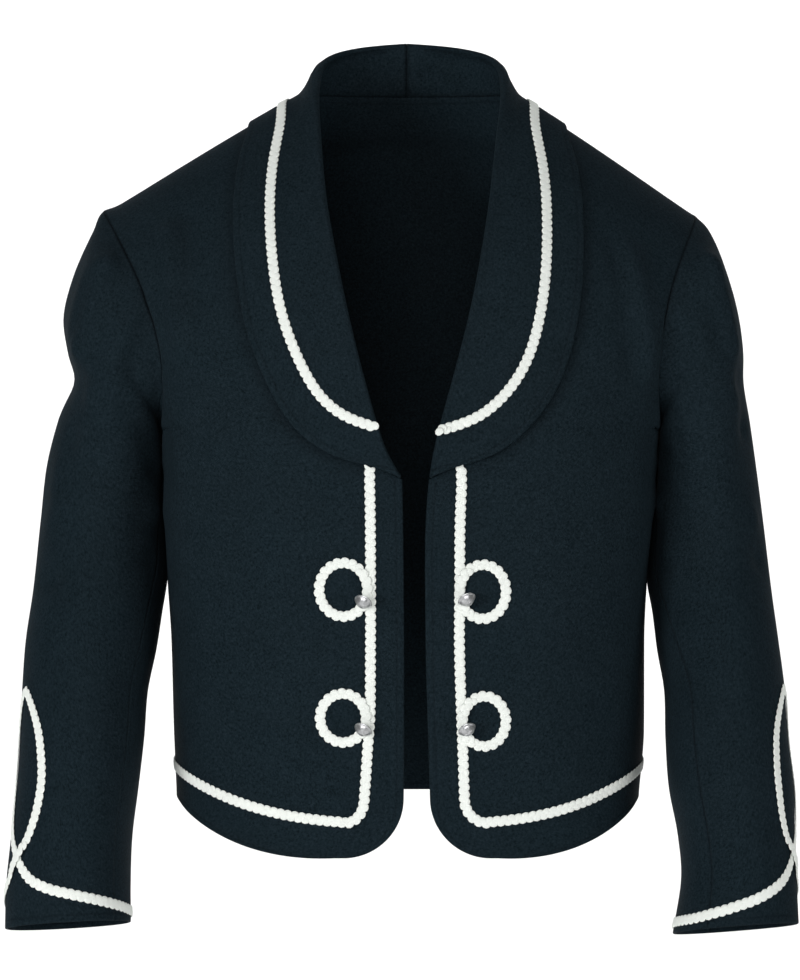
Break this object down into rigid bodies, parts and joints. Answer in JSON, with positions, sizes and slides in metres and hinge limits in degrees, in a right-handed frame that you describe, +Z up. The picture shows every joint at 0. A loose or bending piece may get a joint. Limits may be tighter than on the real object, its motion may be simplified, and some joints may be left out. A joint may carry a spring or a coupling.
{
  "type": "vaquero jacket",
  "caption": "Waist-length dark wool jacket with a shawl collar, open fronts, off-white braid with loops and silver shank buttons, in worn form with nobody in it.",
  "frame": {"origin": "in the middle of the neck, at the height of the neck end of the shoulder seams, where the shoulders carry the jacket", "axes": "+X to the wearer's left, the front faces -Y, +Z up"},
  "size_m": [0.6177, 0.2592, 0.7151],
  "materials": {
    "wool": "dense dark wool with a short nap",
    "gimp_braid": "off-white scalloped cotton gimp",
    "silver": "worn polish"
  },
  "bodies": {
    "root": {"front_right": "wool", "front_left": "wool", "back": "wool", "sleeve_upper_right": "wool", "sleeve_under_right": "wool", "sleeve_upper_left": "wool", "sleeve_under_left": "wool", "collar_right": "wool", "collar_left": "wool", "braid_collar": "gimp_braid", "braid_front_right": "gimp_braid", "braid_front_left": "gimp_braid", "braid_back_hem": "gimp_braid", "braid_loop_upper_right": "gimp_braid", "braid_loop_lower_right": "gimp_braid", "braid_loop_upper_left": "gimp_braid", "braid_loop_lower_left": "gimp_braid", "braid_cuff_right": "gimp_braid", "braid_cuff_left": "gimp_braid", "button_upper_right": "silver", "button_lower_right": "silver", "button_upper_left": "silver", "button_lower_left": "silver"}
  },
  "joints": []
}
